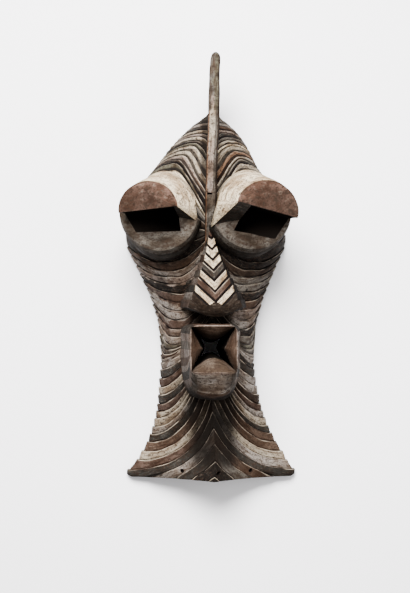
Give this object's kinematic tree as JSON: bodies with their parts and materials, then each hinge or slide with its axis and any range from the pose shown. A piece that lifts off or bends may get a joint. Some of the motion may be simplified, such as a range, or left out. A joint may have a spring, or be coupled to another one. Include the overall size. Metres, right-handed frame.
{
  "type": "songye kifwebe mask",
  "caption": "Carved wooden face mask with a tall thin crest, hooded eyes, boxed mouth and lapped striped bands, hollow behind",
  "frame": {"origin": "bottom centre of the bounding box, in the plane of the open back's rim, on which the mask lies", "axes": "+X to the right of someone facing the mask, +Y up the face from the beard's edge to the crest's tip, +Z out of the face"},
  "size_m": [0.2544, 0.6, 0.1935],
  "materials": {
    "painted_wood": "carved, striped in white, black and red-brown earth pigment, worn and dusty"
  },
  "bodies": {
    "root": {"carved_mask": "painted_wood"}
  },
  "joints": []
}
